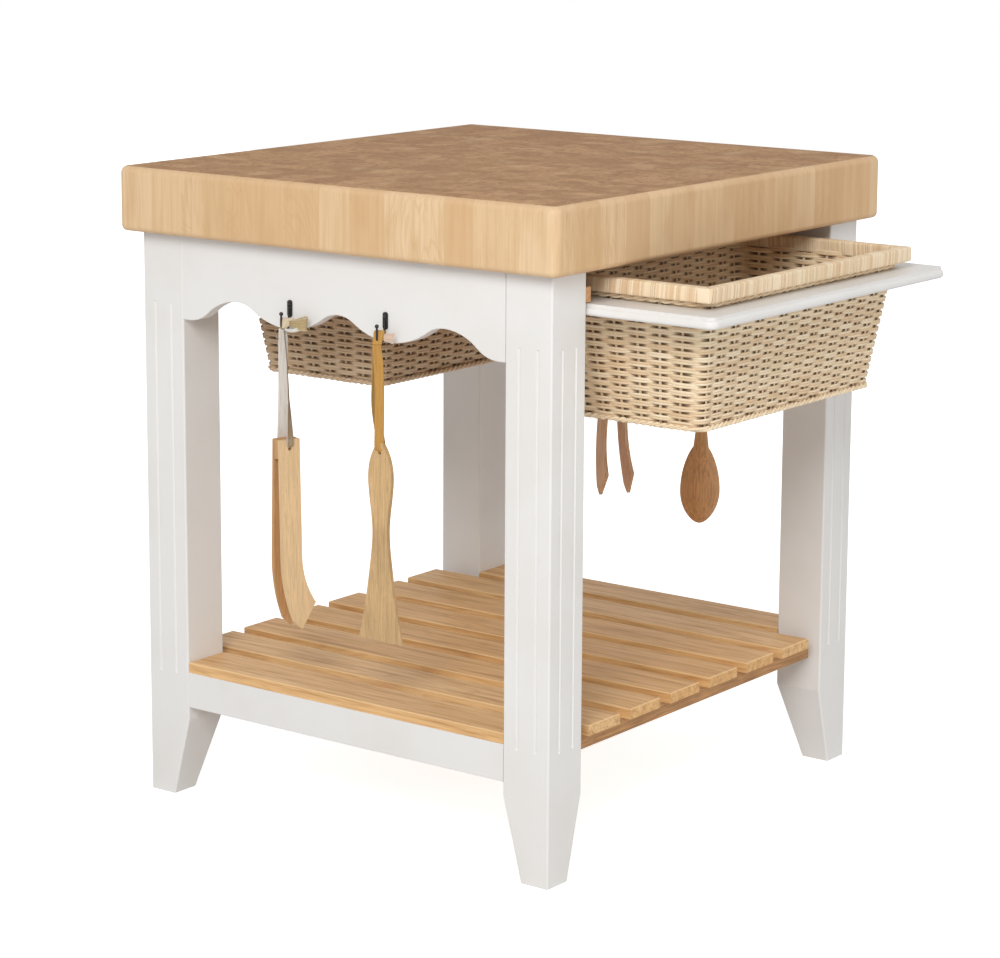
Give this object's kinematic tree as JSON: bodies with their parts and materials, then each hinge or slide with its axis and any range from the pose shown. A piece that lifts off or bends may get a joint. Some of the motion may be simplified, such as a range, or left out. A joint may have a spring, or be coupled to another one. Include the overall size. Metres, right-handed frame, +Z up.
{
  "type": "kitchen island cart",
  "caption": "Kitchen island with a thick butcher block top on fluted legs, scalloped aprons, basket drawers, a slatted shelf and hooks for utensils.",
  "frame": {"origin": "on the floor midway between the four feet, under the middle of the top", "axes": "+Z up; X along the scalloped aprons and the way the drawers slide, with the open drawer towards +X; -Y is the front apron with the spatula"},
  "size_m": [0.933, 0.8313, 0.914],
  "materials": {
    "butcher_block": "oiled end grain and edge grain staves",
    "white_paint": "satin off-white paint on wood",
    "oiled_oak": "oiled honey brown oak",
    "plain_beech": "unpainted beech",
    "woven_cane": "natural woven cane and rattan",
    "dark_iron": "dark blackened iron",
    "steel": "zinc plated steel",
    "cotton_ribbon": "grey beige woven cotton ribbon",
    "tan_leather": "tan leather lace",
    "light_beech": "bare light beech",
    "dark_beech": "tan beech, darker with age"
  },
  "bodies": {
    "cart": {"butcher_block_top": "butcher_block", "corner_blocks": "white_paint", "drawer_guide_back": "plain_beech", "drawer_guide_front": "plain_beech", "drawer_runner_back": "plain_beech", "drawer_runner_front": "plain_beech", "drawer_stop": "plain_beech", "hook_back_left": "dark_iron", "hook_back_right": "dark_iron", "hook_front_left": "dark_iron", "hook_front_right": "dark_iron", "hook_screws": "dark_iron", "leg_back_left": "white_paint", "leg_back_right": "white_paint", "leg_front_left": "white_paint", "leg_front_right": "white_paint", "lower_rail_back": "white_paint", "lower_rail_front": "white_paint", "scalloped_apron_back": "white_paint", "scalloped_apron_front": "white_paint", "shelf_screws": "steel", "shelf_slat_1": "oiled_oak", "shelf_slat_2": "oiled_oak", "shelf_slat_3": "oiled_oak", "shelf_slat_4": "oiled_oak", "shelf_slat_5": "oiled_oak", "shelf_slat_6": "oiled_oak", "shelf_slat_7": "oiled_oak", "shelf_slat_8": "oiled_oak", "slat_bearer_left": "oiled_oak", "slat_bearer_middle": "oiled_oak", "slat_bearer_right": "oiled_oak", "top_screws": "steel"},
    "right_drawer": {"right_basket_band": "woven_cane", "right_basket_body": "woven_cane", "right_basket_rim": "woven_cane", "right_tray_back_rail": "white_paint", "right_tray_far_rail": "white_paint", "right_tray_front_rail": "white_paint", "right_tray_near_rail": "white_paint"},
    "left_drawer": {"left_basket_band": "woven_cane", "left_basket_body": "woven_cane", "left_basket_rim": "woven_cane", "left_tray_back_rail": "white_paint", "left_tray_far_rail": "white_paint", "left_tray_front_rail": "white_paint", "left_tray_near_rail": "white_paint"},
    "front_tongs": {"front_tongs_far_leaf": "light_beech", "front_tongs_near_leaf": "light_beech", "front_tongs_strap": "cotton_ribbon", "front_tongs_wedge": "light_beech"},
    "hanging_spatula": {"spatula": "light_beech", "spatula_strap": "tan_leather"},
    "back_tongs": {"back_tongs_far_leaf": "dark_beech", "back_tongs_near_leaf": "dark_beech", "back_tongs_strap": "cotton_ribbon", "back_tongs_wedge": "dark_beech"},
    "hanging_spoon": {"spoon": "dark_beech", "spoon_strap": "cotton_ribbon"}
  },
  "joints": [
    {"name": "right_drawer_slide", "type": "slide", "parent": "cart", "child": "right_drawer", "axis": [1, 0, 0], "range_m": [-0.205, 0.035]},
    {"name": "left_drawer_slide", "type": "slide", "parent": "cart", "child": "left_drawer", "axis": [-1, 0, 0], "range_m": [0, 0.24]},
    {"name": "front_tongs_swing", "type": "hinge", "parent": "cart", "child": "front_tongs", "pos_m": [-0.084, -0.3925, 0.716], "axis": [-1, 0, 0], "range_deg": [-25, 35]},
    {"name": "spatula_swing", "type": "hinge", "parent": "cart", "child": "hanging_spatula", "pos_m": [0.084, -0.3925, 0.716], "axis": [-1, 0, 0], "range_deg": [-25, 35]},
    {"name": "back_tongs_swing", "type": "hinge", "parent": "cart", "child": "back_tongs", "pos_m": [-0.084, 0.3925, 0.716], "axis": [1, 0, 0], "range_deg": [-25, 35]},
    {"name": "spoon_swing", "type": "hinge", "parent": "cart", "child": "hanging_spoon", "pos_m": [0.084, 0.3925, 0.716], "axis": [1, 0, 0], "range_deg": [-25, 35]}
  ]
}
